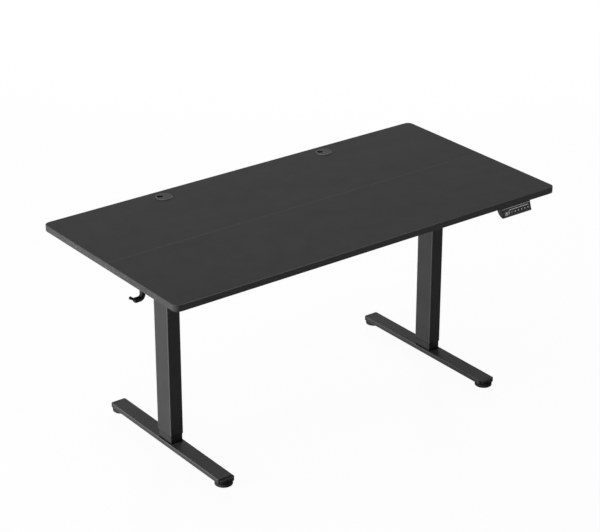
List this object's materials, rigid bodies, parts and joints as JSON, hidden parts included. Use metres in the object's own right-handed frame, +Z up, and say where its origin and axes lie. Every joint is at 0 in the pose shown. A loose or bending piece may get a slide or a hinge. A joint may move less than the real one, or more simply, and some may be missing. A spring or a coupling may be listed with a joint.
{
  "type": "height adjustable standing desk",
  "caption": "Height adjustable standing desk: black split-board top on telescoping steel columns with flat T-feet, motor-driven cross shaft, front handset, cable grommets and a headphone hook.",
  "frame": {"origin": "on the floor under the middle of the desktop", "axes": "+X to the user's right along the desktop's long side, +Y to the back, +Z up"},
  "size_m": [1.5382, 0.7705, 0.716],
  "materials": {
    "laminate": "matte fine-grained black laminate",
    "edge_plastic": "matte",
    "powder_coat": "fine matte powder coat",
    "cap_plastic": "moulded, lightly textured",
    "pad_plastic": "matte",
    "zinc_steel": "zinc plated",
    "cast_alloy": "as cast",
    "bearing_steel": "ground",
    "nylon": "natural nylon",
    "motor_paint": "semi-matte",
    "black_fastener": "black oxide",
    "box_plastic": "moulded, lightly textured",
    "socket_plastic": "moulded",
    "handset_plastic": "moulded, fine texture",
    "fascia_plastic": "satin",
    "key_plastic": "soft matte",
    "display_plastic": "smoked gloss",
    "circuit_board": "solder mask"
  },
  "bodies": {
    "base": {"left_foot_beam": "powder_coat", "right_foot_beam": "powder_coat", "left_front_foot_cap": "cap_plastic", "left_rear_foot_cap": "cap_plastic", "right_front_foot_cap": "cap_plastic", "right_rear_foot_cap": "cap_plastic", "left_inner_tube": "powder_coat", "right_inner_tube": "powder_coat", "column_base_plates": "zinc_steel", "foot_bolts": "black_fastener", "spindle_nuts": "nylon", "inner_tube_glides": "nylon", "leveller_inserts": "zinc_steel"},
    "left_front_leveller": {"left_front_leveller": "pad_plastic"},
    "left_rear_leveller": {"left_rear_leveller": "pad_plastic"},
    "right_front_leveller": {"right_front_leveller": "pad_plastic"},
    "right_rear_leveller": {"right_rear_leveller": "pad_plastic"},
    "left_spindle": {"left_spindle": "zinc_steel", "left_spindle_gear": "bearing_steel"},
    "right_spindle": {"right_spindle": "zinc_steel", "right_spindle_gear": "bearing_steel"},
    "cross_shaft": {"cross_shaft": "zinc_steel", "shaft_pinions": "bearing_steel"},
    "left_grommet_cap": {"left_grommet_cap": "cap_plastic"},
    "right_grommet_cap": {"right_grommet_cap": "cap_plastic"},
    "key_1": {"key_1": "key_plastic"},
    "key_2": {"key_2": "key_plastic"},
    "key_3": {"key_3": "key_plastic"},
    "key_4": {"key_4": "key_plastic"},
    "key_up": {"key_up": "key_plastic"},
    "key_down": {"key_down": "key_plastic"},
    "top": {"front_board": "laminate", "rear_board": "laminate", "front_edge_band": "edge_plastic", "rear_edge_band": "edge_plastic", "left_outer_tube": "powder_coat", "left_side_bracket": "powder_coat", "right_outer_tube": "powder_coat", "right_side_bracket": "powder_coat", "front_cross_rail": "powder_coat", "rear_cross_rail": "powder_coat", "column_head_plates": "powder_coat", "spindle_bearings": "bearing_steel", "gear_housings": "cast_alloy", "drive_housing": "cast_alloy", "outer_tube_glides": "nylon", "frame_bolts": "black_fastener", "board_screws": "black_fastener", "splice_plates": "black_fastener", "motor_can": "motor_paint", "motor_end_cap": "box_plastic", "control_box_shell": "box_plastic", "control_box_lid": "box_plastic", "control_box_sockets": "socket_plastic", "grommet_liners": "cap_plastic", "headphone_hook": "cap_plastic", "handset_case": "handset_plastic", "handset_fascia": "fascia_plastic", "handset_display": "display_plastic", "handset_board": "circuit_board"}
  },
  "joints": [
    {"name": "lift", "type": "slide", "parent": "base", "child": "top", "axis": [0, 0, 1], "range_m": [0, 0.46]},
    {"name": "left_front_leveller_screw", "type": "slide", "parent": "base", "child": "left_front_leveller", "axis": [0, 0, -1], "range_m": [0, 0.006]},
    {"name": "left_rear_leveller_screw", "type": "slide", "parent": "base", "child": "left_rear_leveller", "axis": [0, 0, -1], "range_m": [0, 0.006]},
    {"name": "right_front_leveller_screw", "type": "slide", "parent": "base", "child": "right_front_leveller", "axis": [0, 0, -1], "range_m": [0, 0.006]},
    {"name": "right_rear_leveller_screw", "type": "slide", "parent": "base", "child": "right_rear_leveller", "axis": [0, 0, -1], "range_m": [0, 0.006]},
    {"name": "left_spindle_turn", "type": "hinge", "parent": "top", "child": "left_spindle", "pos_m": [-0.548, 0, 0.64], "axis": [0, 0, 1], "range_deg": [-20, 16600]},
    {"name": "right_spindle_turn", "type": "hinge", "parent": "top", "child": "right_spindle", "pos_m": [0.548, 0, 0.64], "axis": [0, 0, 1], "range_deg": [-20, 16600]},
    {"name": "cross_shaft_turn", "type": "hinge", "parent": "top", "child": "cross_shaft", "pos_m": [0, 0, 0.668], "axis": [1, 0, 0], "range_deg": [-20, 16600]},
    {"name": "left_grommet_cap_turn", "type": "hinge", "parent": "top", "child": "left_grommet_cap", "pos_m": [-0.333, 0.331, 0.7145], "axis": [0, 0, 1], "continuous": true},
    {"name": "right_grommet_cap_turn", "type": "hinge", "parent": "top", "child": "right_grommet_cap", "pos_m": [0.333, 0.331, 0.7145], "axis": [0, 0, 1], "continuous": true},
    {"name": "key_1_press", "type": "slide", "parent": "top", "child": "key_1", "axis": [0, 0.9478, -0.3188], "range_m": [0, 0.0008], "stiffness_N_per_m": 1500},
    {"name": "key_2_press", "type": "slide", "parent": "top", "child": "key_2", "axis": [0, 0.9478, -0.3188], "range_m": [0, 0.0008], "stiffness_N_per_m": 1500},
    {"name": "key_3_press", "type": "slide", "parent": "top", "child": "key_3", "axis": [0, 0.9478, -0.3188], "range_m": [0, 0.0008], "stiffness_N_per_m": 1500},
    {"name": "key_4_press", "type": "slide", "parent": "top", "child": "key_4", "axis": [0, 0.9478, -0.3188], "range_m": [0, 0.0008], "stiffness_N_per_m": 1500},
    {"name": "key_up_press", "type": "slide", "parent": "top", "child": "key_up", "axis": [0, 0.9478, -0.3188], "range_m": [0, 0.0008], "stiffness_N_per_m": 1500},
    {"name": "key_down_press", "type": "slide", "parent": "top", "child": "key_down", "axis": [0, 0.9478, -0.3188], "range_m": [0, 0.0008], "stiffness_N_per_m": 1500}
  ],
  "couplings": [
    {"joint": "left_spindle_turn", "follows": "lift", "rad_per_m": 628.32},
    {"joint": "right_spindle_turn", "follows": "lift", "rad_per_m": 628.32},
    {"joint": "cross_shaft_turn", "follows": "lift", "rad_per_m": 628.32}
  ]
}
